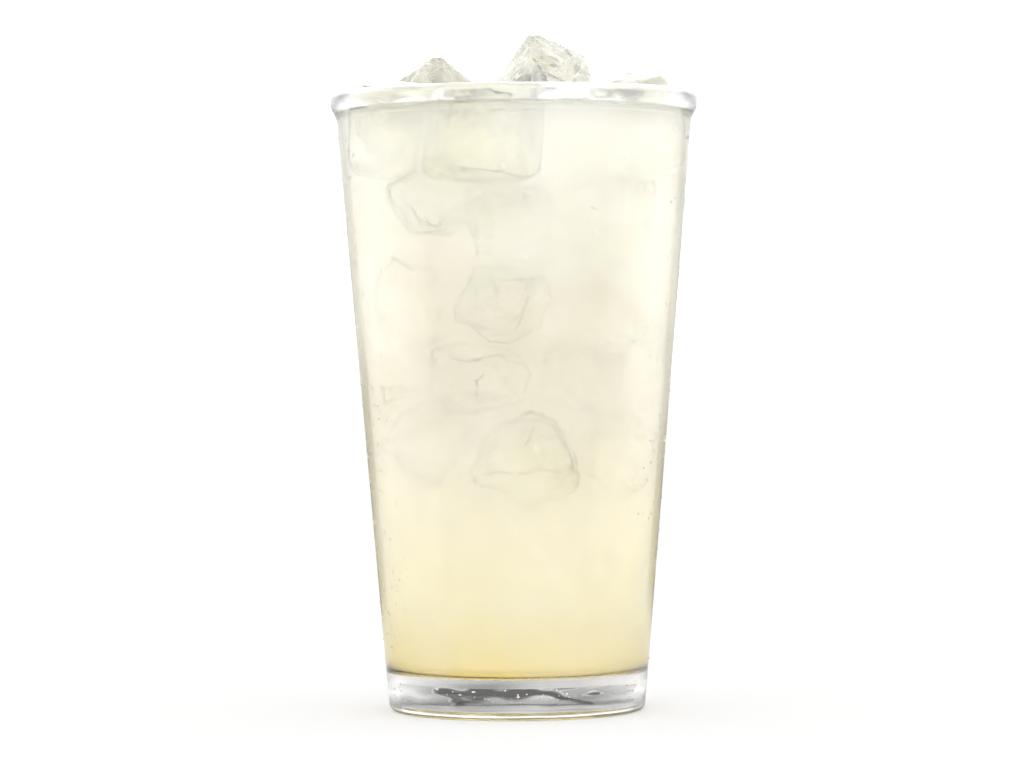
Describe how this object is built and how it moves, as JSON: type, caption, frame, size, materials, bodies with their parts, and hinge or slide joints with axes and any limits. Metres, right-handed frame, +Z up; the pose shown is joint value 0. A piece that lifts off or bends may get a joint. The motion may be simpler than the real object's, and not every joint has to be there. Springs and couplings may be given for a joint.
{
  "type": "glass of lemonade",
  "caption": "Tapered pint tumbler of clear glass with a thick base and a beaded rim, full of cloudy iced lemonade, with ice cubes standing out of the drink.",
  "frame": {"origin": "middle of the foot, on the surface that the glass stands on", "axes": "+Z up along the glass's axis, +Y away from the side that faces the viewer, +X to the viewer's right"},
  "size_m": [0.0888, 0.0888, 0.1638],
  "materials": {
    "glass": "clear smooth pressed glass",
    "lemonade": "cloudy pale yellow drink, wet and smooth",
    "ice": "clear wet ice with cloudy cores and melted edges"
  },
  "bodies": {
    "root": {"glass": "glass", "lemonade": "lemonade", "ice_1": "ice", "ice_2": "ice", "ice_3": "ice", "ice_4": "ice", "ice_5": "ice", "ice_6": "ice", "ice_7": "ice", "ice_8": "ice"}
  },
  "joints": []
}
